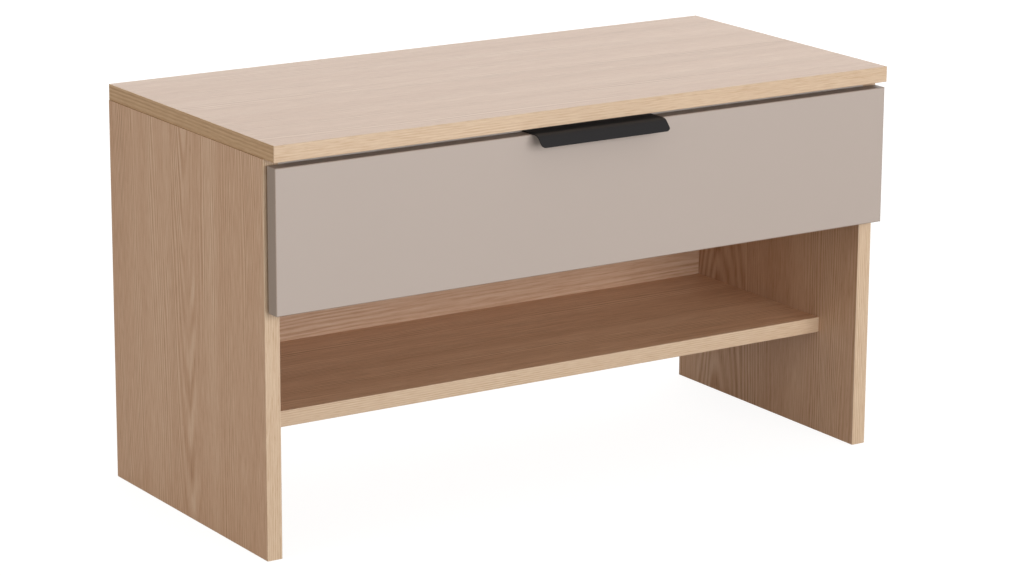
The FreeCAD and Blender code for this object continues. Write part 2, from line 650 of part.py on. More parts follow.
def runner_holes(name, member, sign):
    """Round screw holes through a runner member's web."""
    sketch = plane_sketch(member, name + "_holes", "YZ_Plane")
    for index, spot in enumerate(screw_spots):
        across = "%s - runner_front" % spot
        sketch.addGeometry(Part.Circle(V(value(across), 0.0, 0), V(0, 0, 1), 1.9), False)
        sketch.addConstraint(Sketcher.Constraint("PointOnObject", index, 3, -1))
        number = sketch.addConstraint(
            Sketcher.Constraint("DistanceX", -1, 1, index, 3, value(across)))
        sketch.setExpression("Constraints[%d]" % number, bound(across))
        sketch.addConstraint(Sketcher.Constraint("Radius", index, 1.9))
    before = member.Shape.Volume
    pocket = member.newObject("PartDesign::Pocket", name + "_hole_pocket")
    pocket.Profile = sketch
    pocket.Midplane = True
    pocket.Length = 40.0
    doc.recompute()
    if member.Shape.Volume > before - 1.0:
        raise RuntimeError("no holes in " + name)


for body in [item for item in NODES if item.Name.startswith(("runner_cabinet", "runner_drawer"))]:
    runner_holes(body.Name, body, 1)

# drawer front held from inside the drawer box
long_screw = screw(2.0, 26.0, 4.0, 2.2)
spots = [("%d * ( box_half - 70 )" % sign, "front_rear + box_board", level)
         for sign in (-1, 1) for level in ("box_lower + 34", "box_upper - 26")]
group("drawer_front_screws", [placed(long_screw, point_of(spot), BACK) for spot in spots])
drill("drawer_box_front", "+Y", spots, "2.1", "box_board")
drill("drawer_front_panel", "+Y", spots, "2.1", "14.5")

# drawer box corners
box_screw = screw(2.0, 38.0, 3.6, 1.2)
solids = []
for side, sign, inward, outward, inner_face, outer_face in SIDES:
    for end, middle in (("drawer_box_front", "front_rear + box_board / 2"),
                        ("drawer_box_back", "box_back - box_board / 2")):
        spots = [("%s ( box_half - 1.2 )" % sign, middle, level)
                 for level in ("box_lower + 24", "( box_lower + box_upper ) / 2 + 4",
                               "box_upper - 18")]
        solids += [placed(box_screw, point_of(spot), outward) for spot in spots]
        drill("drawer_box_side_" + side, outer_face, spots, "3.7", "1.2")
        drill("drawer_box_side_" + side, outer_face, spots, "2.1", "box_board")
        drill(end, outer_face, spots, "2.1", "28")
group("drawer_box_screws", solids)

# edge pull held from behind
pull_screw = screw(1.6, 14.0, 3.0, 1.3)
spots = [("%d * ( handle_length / 2 - handle_screw_inset )" % sign,
          "front_rear + handle_sheet", "front_upper - 12") for sign in (-1, 1)]
group("handle_screws", [placed(pull_screw, point_of(spot), BACK) for spot in spots])
drill("drawer_front_panel", "+Y", spots, "1.7", "13")
holes = plane_sketch(handle, "handle_holes", "XZ_Plane", "-1 * ( front_thickness + handle_sheet )")
for index, spot in enumerate(spots):
    across, up = spot[0], "-12"
    holes.addGeometry(Part.Circle(V(value(across), value(up), 0), V(0, 0, 1), 1.7), False)
    fix_point(holes, index, 3, across, up)
    holes.addConstraint(Sketcher.Constraint("Radius", index, 1.7))
before = handle.Shape.Volume
pocket = handle.newObject("PartDesign::Pocket", "handle_hole_pocket")
pocket.Profile = holes
pocket.Reversed = True
pocket.setExpression("Length", bound("handle_sheet"))
doc.recompute()
if handle.Shape.Volume > before - 1.0:
    raise RuntimeError("no holes in the handle")

# soft pads behind the drawer front, which meet the sides' front edges
pad_height = value("side_front - front_rear") - 0.2
bumper = Part.makeCylinder(4.0, pad_height)
bumper = bumper.makeFillet(1.0, [edge for edge in bumper.Edges
                                 if abs(edge.BoundBox.ZMin - pad_height) < 1e-6][:1])
spots = [("%d * side_middle" % sign, "front_rear", level)
         for sign in (-1, 1) for level in ("front_lower + 20", "front_upper - 20")]
group("drawer_bumpers", [placed(bumper, point_of(spot), BACK) for spot in spots])

# ---------------------------------------------------------------- checks and export
doc.recompute()
for item in doc.Objects:
    if "Invalid" in item.State or "Error" in item.State:
        raise RuntimeError("%s is in state %s" % (item.Name, item.State))
for node in NODES:
    if node.Shape.isNull() or not node.Shape.isValid() or not node.Shape.Solids:
        raise RuntimeError("%s has no valid solid" % node.Label)
    node.Shape.exportStep("parts/%s.step" % node.Label)
    box = node.Shape.BoundBox
    print("%-26s %2d solid(s)  x %8.2f %8.2f  y %8.2f %8.2f  z %8.2f %8.2f" % (
        node.Label, len(node.Shape.Solids), box.XMin, box.XMax, box.YMin, box.YMax,
        box.ZMin, box.ZMax))
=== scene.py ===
import bmesh
import bpy
import math
from mathutils import Matrix, Vector


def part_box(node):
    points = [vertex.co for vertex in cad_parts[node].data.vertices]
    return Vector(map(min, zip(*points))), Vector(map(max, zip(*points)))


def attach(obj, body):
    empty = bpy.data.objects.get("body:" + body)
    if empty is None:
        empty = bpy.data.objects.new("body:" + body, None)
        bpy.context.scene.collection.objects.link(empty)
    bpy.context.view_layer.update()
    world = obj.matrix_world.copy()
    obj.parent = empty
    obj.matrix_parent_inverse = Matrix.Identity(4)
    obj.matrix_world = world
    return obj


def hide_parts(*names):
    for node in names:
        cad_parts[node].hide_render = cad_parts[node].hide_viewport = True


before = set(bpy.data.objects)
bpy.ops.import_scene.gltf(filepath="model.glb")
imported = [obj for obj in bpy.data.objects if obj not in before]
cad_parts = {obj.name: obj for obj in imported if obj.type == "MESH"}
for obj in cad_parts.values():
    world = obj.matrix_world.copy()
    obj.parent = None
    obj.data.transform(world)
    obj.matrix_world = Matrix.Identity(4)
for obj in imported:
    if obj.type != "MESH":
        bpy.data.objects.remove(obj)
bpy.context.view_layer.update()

# Entryway bench: light oak boards, a cashmere grey drawer front and a black edge pull.
# Metres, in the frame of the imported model.

MM = 0.001
WHITE = "FFFFFF"

# ------------------------------------------------------------------ colours and nodes


def linear(hex_colour):
    """Turns an sRGB hex value such as "C9A77F" into linear RGBA."""
    channels = [int(hex_colour[i:i + 2], 16) / 255 for i in (0, 2, 4)]
    return [c / 12.92 if c <= 0.04045 else ((c + 0.055) / 1.055) ** 2.4 for c in channels] + [1.0]


def add(tree, kind, settings=None, links=None):
    """Adds a node, sets its properties and sockets, and links its inputs.

    A colour ramp also takes "stops", which are pairs of a position and a hex colour."""
    node = tree.nodes.new(kind)
    for key, value in (settings or {}).items():
        if key == "stops":
            elements = node.color_ramp.elements
            while len(elements) < len(value):
                elements.new(0.5)
            for element, (position, colour) in zip(elements, value):
                element.position = position
                element.color = linear(colour)
        elif isinstance(key, str) and hasattr(node, key):
            setattr(node, key, value)
        else:
            node.inputs[key].default_value = value
    for key, source in (links or {}).items():
        tree.links.new(source, node.inputs[key])
    return node


def new_material(name):
    """Empty node material; returns the material and its tree."""
    material = bpy.data.materials.new(name)
    material.use_nodes = True
    material.node_tree.nodes.clear()
    return material, material.node_tree


def finish_material(tree, shader):
    """Links a shader to the material's output."""
    add(tree, "ShaderNodeOutputMaterial", links={"Surface": shader.outputs[0]})


def stretched(tree, grain, along, across):
    """Object coordinates scaled to features of the given sizes, in metres, with the grain."""
    place = add(tree, "ShaderNodeTexCoord")
    scale = [1 / across] * 3
    scale["XYZ".index(grain)] = 1 / along
    return add(tree, "ShaderNodeMapping", {"Scale": scale}, {"Vector": place.outputs["Object"]})


def streaks(tree, grain, along, across, detail=2.0, roughness=0.5, distortion=0.0):
    """Noise drawn out along the grain."""
    place = stretched(tree, grain, along, across)
    settings = {"Scale": 1.0, "Detail": detail, "Roughness": roughness, "Distortion": distortion}
    return add(tree, "ShaderNodeTexNoise", settings, {"Vector": place.outputs[0]}).outputs["Fac"]


def centred(tree, value, weight):
    """(value - 0.5) * weight."""
    low = add(tree, "ShaderNodeMath", {"operation": "SUBTRACT", 1: 0.5}, {0: value})
    return add(tree, "ShaderNodeMath", {"operation": "MULTIPLY", 1: weight},
               {0: low.outputs[0]}).outputs[0]


def total(tree, start, first, *others):
    """Sum of a number and several sockets."""
    result = add(tree, "ShaderNodeMath", {"operation": "ADD", 1: start}, {0: first})
    for other in others:
        result = add(tree, "ShaderNodeMath", {"operation": "ADD"},
                     {0: result.outputs[0], 1: other})
    return result.outputs[0]


def patterned(tree, tone, stops, settings, depth, bump, height=None, gloss=None):
    """Principled surface that follows a pattern in its colour, relief and gloss.

    The colour runs over stops with tone. The relief follows height, or tone where none is
    given, to a depth in metres at a bump strength. Gloss is the socket that the roughness
    follows, with its lowest and highest value."""
    colour = add(tree, "ShaderNodeValToRGB", {"stops": stops}, {"Fac": tone})
    relief = add(tree, "ShaderNodeBump", {"Distance": depth, "Strength": bump},
                 {"Height": tone if height is None else height})
    links = {"Base Color": colour.outputs["Color"], "Normal": relief.outputs["Normal"]}
    if gloss:
        rough = add(tree, "ShaderNodeMapRange", {"To Min": gloss[1], "To Max": gloss[2]},
                    {"Value": gloss[0]})
        links["Roughness"] = rough.outputs["Result"]
    return add(tree, "ShaderNodeBsdfPrincipled", settings, links)


# ------------------------------------------------------------------ oak decor
OAK_STEPS = (0.0, 0.32, 0.55, 0.78, 1.0)


def oak_tones(*colours):
    """Ramp stops of an oak decor, from its darkest line to its palest fibre."""
    return list(zip(OAK_STEPS, colours))


OAK_FACE = oak_tones("A07858", "BD9474", "CBA587", "D6B497", "DFC2A8")
# painted light: a less red copy of the face tones, painting the whitish sheen on the top and the
# paler look of the back in its light
OAK_COOL_PAINTED_LIGHT = oak_tones("9D785B", "BA9477", "C8A58B", "D2B49B", "DBC2AC")
# painted light: a lighter, redder copy of the face tones, painting the warm bounce light on the
# shelf under the drawer
OAK_WARM_PAINTED_BOUNCE = oak_tones("A87B59", "C69875", "D5A988", "E1B998", "EAC7A9")
OAK_EDGE = oak_tones("AA8A66", "C4A586", "D1B69A", "DAC2A7", "E2CDB5")
# painted shade: a darker copy of the edge band tones, for the top's end bands, whose left one
# faces away from the light
OAK_END_PAINTED_SHADE = oak_tones("93704C", "B08B65", "BE9A74", "CBA983", "D6B794")
OAK_ROUGHNESS = 0.41

# sizes of the decor's features, with the grain and across it
FIBRE = (36 * MM, 1.2 * MM)
PORE = (14 * MM, 0.8 * MM)
RING_PATCH = (350 * MM, 28 * MM)  # where the growth rings show more or less
TONE_BAND = (900 * MM, 17 * MM)
STAVE = (1800 * MM, 60 * MM)
WANDER = (380 * MM, 50 * MM)  # how the rings sway
RING_GROUP = 40 * MM  # rings come in wider and narrower groups of about this width

# how much each feature changes the tone, between 0 and 1
MIDDLE_TONE = 0.56
RING_SHARE = 0.5
FIBRE_SHARE = 1.15
BAND_SHARE = 0.26
STAVE_SHARE = 0.42
PORE_SHARE = -0.2

SMOOTH_STEP = {"interpolation_type": "SMOOTHSTEP"}


def growth_rings(tree, grain, heart, lean, spacing, sway):
    """Lines between 0 and 1 that repeat about every spacing metres from the heart of a log.

    The log's axis passes through heart and leans by lean; its rings sway a few millimetres,
    so that they show as long lines, with arches where the board lies nearest to the heart."""
    place = add(tree, "ShaderNodeTexCoord")
    tilted = add(tree, "ShaderNodeMapping",
                 {"Location": [-value for value in heart], "Rotation": lean},
                 {"Vector": place.outputs["Object"]})
    wander = add(tree, "ShaderNodeTexNoise", {"Scale": 1.0, "Detail": 2.0},
                 {"Vector": stretched(tree, grain, *WANDER).outputs[0]})
    swayed = add(tree, "ShaderNodeVectorMath", {"operation": "MULTIPLY_ADD", 1: (sway,) * 3},
                 {0: wander.outputs["Color"], 2: tilted.outputs[0]})
    flat = [0.0 if axis == grain else 1.0 for axis in "XYZ"]
    across = add(tree, "ShaderNodeVectorMath", {"operation": "MULTIPLY", 1: flat},
                 {0: swayed.outputs[0]})
    radius = add(tree, "ShaderNodeVectorMath", {"operation": "LENGTH"},
                 {0: across.outputs[0]}).outputs["Value"]
    width = add(tree, "ShaderNodeTexNoise",
                {"noise_dimensions": "1D", "Scale": 1 / RING_GROUP, "Detail": 1.0}, {"W": radius})
    even = add(tree, "ShaderNodeMath", {"operation": "MULTIPLY", 1: 1 / spacing}, {0: radius})
    phase = add(tree, "ShaderNodeMath", {"operation": "MULTIPLY_ADD", 1: 5.0},
                {0: width.outputs["Fac"], 2: even.outputs[0]})
    line = add(tree, "ShaderNodeMath", {"operation": "PINGPONG", 1: 0.5}, {0: phase.outputs[0]})
    return add(tree, "ShaderNodeMapRange", {**SMOOTH_STEP, "From Min": 0.02, "From Max": 0.46},
               {"Value": line.outputs[0]}).outputs["Result"]


CHIP_SIZE = 1.7 * MM
DUST_SIZE = 0.8 * MM
CHIP_TONES = [(0.15, "A78764"), (0.5, "C4A582"), (0.85, "D9C1A1")]


def raw_core(tree, face, surface):
    """Swaps the surface for bare particleboard wherever the board's edge or a bore shows.

    Pressed chips of a few millimetres in a brown glue-soaked ground; face is the axis that
    the decor faces look along."""
    place = add(tree, "ShaderNodeTexCoord")
    chips = add(tree, "ShaderNodeTexVoronoi", {"Scale": 1 / CHIP_SIZE, "Randomness": 1.0},
                {"Vector": place.outputs["Object"]})
    dust = streaks(tree, "Z", DUST_SIZE, DUST_SIZE, detail=3.0, roughness=0.6)
    shade = add(tree, "ShaderNodeSeparateColor", links={0: chips.outputs["Color"]})
    tone = total(tree, 0.5, centred(tree, shade.outputs[0], 0.55), centred(tree, dust, 0.8))
    core = patterned(tree, tone, CHIP_TONES, {"IOR": 1.45, "Roughness": 0.9}, 0.2 * MM, 0.7)
    axis = [1.0 if letter == face else 0.0 for letter in "XYZ"]
    normal = add(tree, "ShaderNodeNewGeometry").outputs["True Normal"]
    along = add(tree, "ShaderNodeVectorMath", {"operation": "DOT_PRODUCT", 1: axis}, {0: normal})
    facing = add(tree, "ShaderNodeMath", {"operation": "ABSOLUTE"}, {0: along.outputs["Value"]})
    decor = add(tree, "ShaderNodeMath", {"operation": "GREATER_THAN", 1: 0.5},
                {0: facing.outputs[0]})
    return add(tree, "ShaderNodeMixShader",
               links={0: decor.outputs[0], 1: core.outputs[0], 2: surface.outputs[0]})


def oak(name, grain, stops, heart, lean=(0.0, 0.0, 0.0), spacing=4.2 * MM, sway=20 * MM,
        fibre=FIBRE, contrast=1.0, face=None):
    """Light oak decor on melamine-faced board: a printed, pressed and slightly silky surface.

    Growth rings drawn out into long lines, fine pale fibres between them, a slow change of
    tone between staves, and short darker pores pressed a few hundredths of a millimetre deep."""
    material, tree = new_material(name)
    rings = growth_rings(tree, grain, heart, lean, spacing, sway)
    # fibres of the real decor are about 0.5 mm wide; they are drawn coarser so that they show
    fibres = streaks(tree, grain, *fibre, detail=3.0, roughness=0.6)
    patch = streaks(tree, grain, *RING_PATCH, detail=1.0)
    band = streaks(tree, grain, *TONE_BAND, detail=1.0, roughness=0.4, distortion=0.2)
    stave = streaks(tree, grain, *STAVE, detail=1.0, roughness=0.4)
    pores = streaks(tree, grain, *PORE, detail=1.0, roughness=0.4)
    shown = add(tree, "ShaderNodeMapRange", {**SMOOTH_STEP, "From Min": 0.3, "From Max": 0.72},
                {"Value": patch})
    ring_tone = add(tree, "ShaderNodeMath", {"operation": "MULTIPLY"},
                    {0: centred(tree, rings, RING_SHARE * contrast), 1: shown.outputs["Result"]})
    tone = total(tree, MIDDLE_TONE,
                 ring_tone.outputs[0],
                 centred(tree, fibres, FIBRE_SHARE * contrast),
                 centred(tree, band, BAND_SHARE * contrast),
                 centred(tree, stave, STAVE_SHARE * contrast))
    pore = add(tree, "ShaderNodeMapRange", {**SMOOTH_STEP, "From Min": 0.6, "From Max": 0.76},
               {"Value": pores}).outputs["Result"]
    shade = add(tree, "ShaderNodeMath", {"operation": "MULTIPLY_ADD", 1: PORE_SHARE * contrast},
                {0: pore, 2: tone}).outputs[0]
    height = add(tree, "ShaderNodeMath", {"operation": "MULTIPLY_ADD", 1: -0.7},
                 {0: pore, 2: fibres}).outputs[0]
    shader = patterned(tree, shade, stops, {"IOR": 1.5}, 0.04 * MM, 0.6, height,
                       (fibres, OAK_ROUGHNESS - 0.05, OAK_ROUGHNESS + 0.07))
    finish_material(tree, raw_core(tree, face, shader) if face else shader)
    return material


# ------------------------------------------------------------------ other materials


def cashmere(name, colour):
    """Cashmere grey laminate: plain, matt and even, with the faint peel of a pressed film."""
    material, tree = new_material(name)
    peel = streaks(tree, "X", 2.2 * MM, 2.2 * MM)
    cloud = streaks(tree, "X", 250 * MM, 250 * MM, detail=1.0, roughness=0.4)
    tone = total(tree, 0.5, centred(tree, peel, 0.12), centred(tree, cloud, 0.5))
    dark, light = ([channel * level for channel in linear(colour)[:3]] + [1.0]
                   for level in (0.97, 1.03))
    shade = add(tree, "ShaderNodeMix", {"data_type": "RGBA", 6: dark, 7: light}, {0: tone})
    relief = add(tree, "ShaderNodeBump", {"Distance": 0.012 * MM, "Strength": 0.5},
                 {"Height": peel})
    finish_material(tree, add(tree, "ShaderNodeBsdfPrincipled", {"IOR": 1.48, "Roughness": 0.5},
                              {"Base Color": shade.outputs[2],
                               "Normal": relief.outputs["Normal"]}))
    return material


def drawer_laminate(name):
    """Light grey melamine with a woven linen emboss, as used for drawer boxes."""
    material, tree = new_material(name)
    warp = streaks(tree, "Y", 20 * MM, 1.1 * MM, detail=1.0)
    weft = streaks(tree, "Z", 20 * MM, 1.1 * MM, detail=1.0)
    weave = total(tree, 0.0, warp, weft)
    finish_material(tree, patterned(tree, weave, [(0.3, "C6C0B8"), (0.7, "D8D3CB")],
                                    {"IOR": 1.5, "Roughness": 0.5}, 0.02 * MM, 0.4))
    return material


def hardboard(name):
    """Lacquered hardboard: smooth, pale, with a faint mottle of pressed fibre."""
    material, tree = new_material(name)
    mottle = streaks(tree, "X", 6 * MM, 6 * MM, detail=4.0, roughness=0.65)
    finish_material(tree, patterned(tree, mottle, [(0.25, "CFC8BE"), (0.75, "DDD8D0")],
                                    {"IOR": 1.5, "Roughness": 0.38}, 0.015 * MM, 0.4))
    return material


def powder_coat(name):
    """Black powder coat on bent steel: very dark, satin, with a fine baked texture."""
    material, tree = new_material(name)
    # powder grains are about 0.1 mm; drawn at 0.5 mm so that they catch a little light
    grit = streaks(tree, "X", 0.5 * MM, 0.5 * MM, roughness=0.6)
    finish_material(tree, patterned(tree, grit, [(0.3, "131214"), (0.75, "1F1D21")],
                                    {"IOR": 1.45}, 0.02 * MM, 0.5, gloss=(grit, 0.52, 0.66)))
    return material


def rolled_zinc(name, light, dark, rough):
    """Zinc-plated cold-rolled steel: bright grey, with fine rolling lines along its length."""
    material, tree = new_material(name)
    lines = streaks(tree, "Y", 120 * MM, 0.7 * MM, roughness=0.6)
    cloud = streaks(tree, "Y", 60 * MM, 20 * MM)
    tone = total(tree, 0.5, centred(tree, lines, 0.7), centred(tree, cloud, 0.6))
    finish_material(tree, patterned(tree, tone, [(0.2, dark), (0.8, light)], {"Metallic": 1.0},
                                    0.01 * MM, 0.4, lines, (tone, rough - 0.08, rough + 0.12)))
    return material


def ball_steel(name):
    """Hardened ball steel: polished almost like a mirror, with faint oily smears."""
    material, tree = new_material(name)
    smear = streaks(tree, "Y", 4 * MM, 1.2 * MM)
    finish_material(tree, patterned(tree, smear, [(0.3, "B4B6B9"), (0.7, "D2D3D4")],
                                    {"Metallic": 1.0}, 0.004 * MM, 0.3,
                                    gloss=(smear, 0.1, 0.24)))
    return material


def beech(name):
    """Turned beech: pale pinkish wood with short dark flecks along the dowel."""
    material, tree = new_material(name)
    flecks = streaks(tree, "Z", 4 * MM, 0.5 * MM, roughness=0.6)
    finish_material(tree, patterned(tree, flecks, [(0.3, "B98F66"), (0.7, "D6B48C")],
                                    {"IOR": 1.5, "Roughness": 0.6}, 0.03 * MM, 0.5))
    return material


def soft_pad(name):
    """Clear polyurethane bumper: milky, soft and slightly translucent."""
    material, tree = new_material(name)
    haze = streaks(tree, "X", 2 * MM, 2 * MM)
    finish_material(tree, patterned(tree, haze, [(0.3, "CFCDC6"), (0.7, "E2E0DA")],
                                    {"IOR": 1.48, "Roughness": 0.3, "Transmission Weight": 0.25},
                                    0.02 * MM, 0.3))
    return material


# each board is cut from its own place beside the heart of a log; the top and back take oak tones
# with painted light, the shelf oak tones with painted bounce light
OAK_TOP = oak("oak_top_painted_sheen", "X", OAK_COOL_PAINTED_LIGHT, (0.0, 0.33, 0.38), (0.0, 0.04, 0.02), face="Z")
OAK_SHELF = oak("oak_shelf_painted_bounce", "X", OAK_WARM_PAINTED_BOUNCE, (0.0, 0.36, 0.02), (0.0, -0.03, 0.03),
                contrast=1.25, face="Z")
OAK_BACK = oak("oak_back_painted_light", "X", OAK_COOL_PAINTED_LIGHT, (0.0, 0.25, 0.06), (0.0, 0.03, -0.03),
               contrast=0.8, face="Y")
OAK_LEFT = oak("oak_side_left", "Z", OAK_FACE, (-0.37, 0.02, 0.0), (0.02, 0.06, 0.0), face="X")
OAK_RIGHT = oak("oak_side_right", "Z", OAK_FACE, (0.35, 0.13, 0.0), (-0.03, 0.08, 0.0), face="X")
# edge bands are sliced across many thin layers, so their lines are finer and straighter
BAND = {"heart": (0.0, 0.0, 0.3), "spacing": 2.2 * MM, "sway": 4 * MM,
        "fibre": (20 * MM, 0.8 * MM), "contrast": 0.85}
OAK_BAND_X = oak("oak_band_lengthways", "X", OAK_EDGE, **BAND)
# the end bands take the darker tones with painted shade
OAK_BAND_Y = oak("oak_band_crossways_painted_shade", "Y", OAK_END_PAINTED_SHADE, **BAND)
OAK_BAND_Z = oak("oak_band_upright", "Z", OAK_EDGE, **BAND)
CASHMERE = cashmere("cashmere_laminate", "B5A8A0")
# painted shade: a darker copy of the cashmere grey, for the drawer front's edge bands, which face
# away from the light
CASHMERE_BAND_PAINTED_SHADE = cashmere("cashmere_band_painted_shade", "9D8D82")
# painted light: a paler copy of the cashmere grey, so that the front rail, which sits in the shade
# under the top, shows light
RAIL_PAINTED_LIGHT = cashmere("rail_laminate_painted_light", "D2C9C2")
DRAWER_LAMINATE = drawer_laminate("linen_grey_melamine")
DRAWER_BOTTOM = hardboard("lacquered_hardboard")
POWDER_COAT = powder_coat("black_powder_coat")
RUNNER_ZINC = rolled_zinc("zinc_plated_runner", "C9CBCC", "A9ABAD", 0.32)
SCREW_ZINC = rolled_zinc("zinc_plated_fastener", "BDBBB2", "9A988F", 0.36)
BALL_STEEL = ball_steel("polished_ball_steel")
BEECH = beech("turned_beech")
SOFT_PAD = soft_pad("clear_polyurethane")

FINISHES = {
    "top_panel": OAK_TOP,
    "shelf_panel": OAK_SHELF,
    "back_panel": OAK_BACK,
    "side_panel_left": OAK_LEFT,
    "side_panel_right": OAK_RIGHT,
    "top_band_front": OAK_BAND_X,
    "top_band_back": OAK_BAND_X,
    "shelf_band_front": OAK_BAND_X,
    "top_band_left": OAK_BAND_Y,
    "top_band_right": OAK_BAND_Y,
    "front_rail": RAIL_PAINTED_LIGHT,
    "drawer_front_panel": CASHMERE,
    "drawer_bottom": DRAWER_BOTTOM,
    "handle": POWDER_COAT,
    "dowels": BEECH,
    "drawer_bumpers": SOFT_PAD,
}
# nodes whose names start alike share a finish
GROUP_FINISHES = [
    ("side_band_", OAK_BAND_Z),
    ("drawer_front_band_", CASHMERE_BAND_PAINTED_SHADE),
    ("drawer_box_screws", SCREW_ZINC),
    ("drawer_box_", DRAWER_LAMINATE),
    ("runner_screws_", SCREW_ZINC),
    ("runner_", RUNNER_ZINC),
    ("", SCREW_ZINC),
]


def coat(mesh, material):
    """Gives a mesh one material."""
    mesh.materials.clear()
    mesh.materials.append(material)


for node_name, node_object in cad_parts.items():
    shared = next(finish for start, finish in GROUP_FINISHES if node_name.startswith(start))
    coat(node_object.data, FINISHES.get(node_name, shared))

# ------------------------------------------------------------------ edge pull
SHEET = 1.5 * MM
REAR_BEND = 2.0 * MM
LIP_BEND = 12.0 * MM
LIP_SLOPE = math.radians(47.0)
LIP_CORNER = 5.0 * MM
LIP_DROP = 11.0 * MM
EDGE_BREAK = 0.3 * MM
BREAK_SEGMENTS = 2
BREAK_PROFILE = 0.6
BREAK_ANGLE = math.radians(50)
SMOOTH_ANGLE = math.radians(40)
FLANGE_STEPS = 4
REAR_BEND_STEPS = 6
LIP_BEND_STEPS = 14
LIP_STEPS = 8
CORNER_STEPS = 6
LENGTH_STEPS = 12


def pull_path(low, high):
    """Outer line of the bent sheet, as (y, z, outward normal): first the flange behind the
    drawer front and the two bends, then the sloping lip, and the lip's length."""
    flange = high.z - REAR_BEND - low.z
    body = [(high.y, low.z + flange * step / FLANGE_STEPS, (1.0, 0.0))
            for step in range(FLANGE_STEPS)]
    for step in range(REAR_BEND_STEPS + 1):
        turn = math.pi / 2 * step / REAR_BEND_STEPS
        normal = (math.cos(turn), math.sin(turn))
        body.append((high.y - REAR_BEND + REAR_BEND * normal[0],
                     high.z - REAR_BEND + REAR_BEND * normal[1], normal))
    lip_length = (SHEET + LIP_DROP - LIP_BEND * (1 - math.cos(LIP_SLOPE))) / math.sin(LIP_SLOPE)
    bend_y = low.y + LIP_BEND * math.sin(LIP_SLOPE) + lip_length * math.cos(LIP_SLOPE)
    for step in range(LIP_BEND_STEPS + 1):
        turn = LIP_SLOPE * step / LIP_BEND_STEPS
        normal = (-math.sin(turn), math.cos(turn))
        body.append((bend_y + LIP_BEND * normal[0],
                     high.z - LIP_BEND + LIP_BEND * normal[1], normal))
    end_y, end_z, normal = body[-1]
    runs = [lip_length * step / LIP_STEPS for step in range(1, LIP_STEPS + 1)]
    lip = [(end_y - run * math.cos(LIP_SLOPE), end_z - run * math.sin(LIP_SLOPE), normal)
           for run in runs]
    return body, lip, lip_length


def make_edge_pull():
    """Bent steel edge pull with rounded lip corners and lightly broken edges."""
    low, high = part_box("handle")
    body, lip, lip_length = pull_path(low, high)
    bend_y, bend_z, _ = body[-1]
    half = high.x
    left = [-half + LIP_CORNER * (1 - math.cos(math.pi / 2 * step / CORNER_STEPS))
            for step in range(CORNER_STEPS + 1)]
    middle = [(-half + LIP_CORNER) + (2 * half - 2 * LIP_CORNER) * step / LENGTH_STEPS
              for step in range(1, LENGTH_STEPS)]
    columns = left + middle + [-x for x in reversed(left)]
    mesh = bmesh.new()
    outer, inner = [], []
    for x in columns:
        inset = min(half - abs(x), LIP_CORNER)
        short = LIP_CORNER - math.sqrt(max(0.0, LIP_CORNER ** 2 - (LIP_CORNER - inset) ** 2))
        share = (lip_length - short) / lip_length
        rows = body + [(bend_y + (y - bend_y) * share, bend_z + (z - bend_z) * share, normal)
                       for y, z, normal in lip]
        outer.append([mesh.verts.new((x, y, z)) for y, z, _ in rows])
        inner.append([mesh.verts.new((x, y - SHEET * n[0], z - SHEET * n[1])) for y, z, n in rows])
    last_row = len(outer[0]) - 1
    last_column = len(columns) - 1
    for i in range(last_column):
        for j in range(last_row):
            mesh.faces.new((outer[i][j], outer[i][j + 1], outer[i + 1][j + 1], outer[i + 1][j]))
            mesh.faces.new((inner[i][j], inner[i + 1][j], inner[i + 1][j + 1], inner[i][j + 1]))
        for j in (0, last_row):
            mesh.faces.new((outer[i][j], outer[i + 1][j], inner[i + 1][j], inner[i][j]))
    for i in (0, last_column):
        for j in range(last_row):
            mesh.faces.new((outer[i][j], outer[i][j + 1], inner[i][j + 1], inner[i][j]))
    bmesh.ops.recalc_face_normals(mesh, faces=mesh.faces)
    sharp = [edge for edge in mesh.edges if edge.calc_face_angle(0.0) > BREAK_ANGLE]
    bmesh.ops.bevel(mesh, geom=sharp, offset=EDGE_BREAK, segments=BREAK_SEGMENTS,
                    profile=BREAK_PROFILE, affect="EDGES", clamp_overlap=True)
    data = bpy.data.meshes.new("edge_pull")
    mesh.to_mesh(data)
    mesh.free()
    data.shade_smooth()
    data.set_sharp_from_angle(angle=SMOOTH_ANGLE)
    coat(data, POWDER_COAT)
    piece = bpy.data.objects.new("edge_pull", data)
    bpy.context.scene.collection.objects.link(piece)
    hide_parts("handle")
    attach(piece, "drawer")


make_edge_pull()

# ------------------------------------------------------------------ ball cages of the runners
RUNNER_SHEET = 1.2 * MM
BALL_RADIUS = 1.8 * MM
BALL_PITCH = 6.0 * MM
BALLS_IN_ROW = 19
BALL_SUBDIVISIONS = 3
CAGE_END_GAP = 20.0 * MM
COLLAR_RADIUS = 2.6 * MM
COLLAR_SIDES = 24
COLLAR_SECTION = (1.0 * MM, 0.7 * MM)


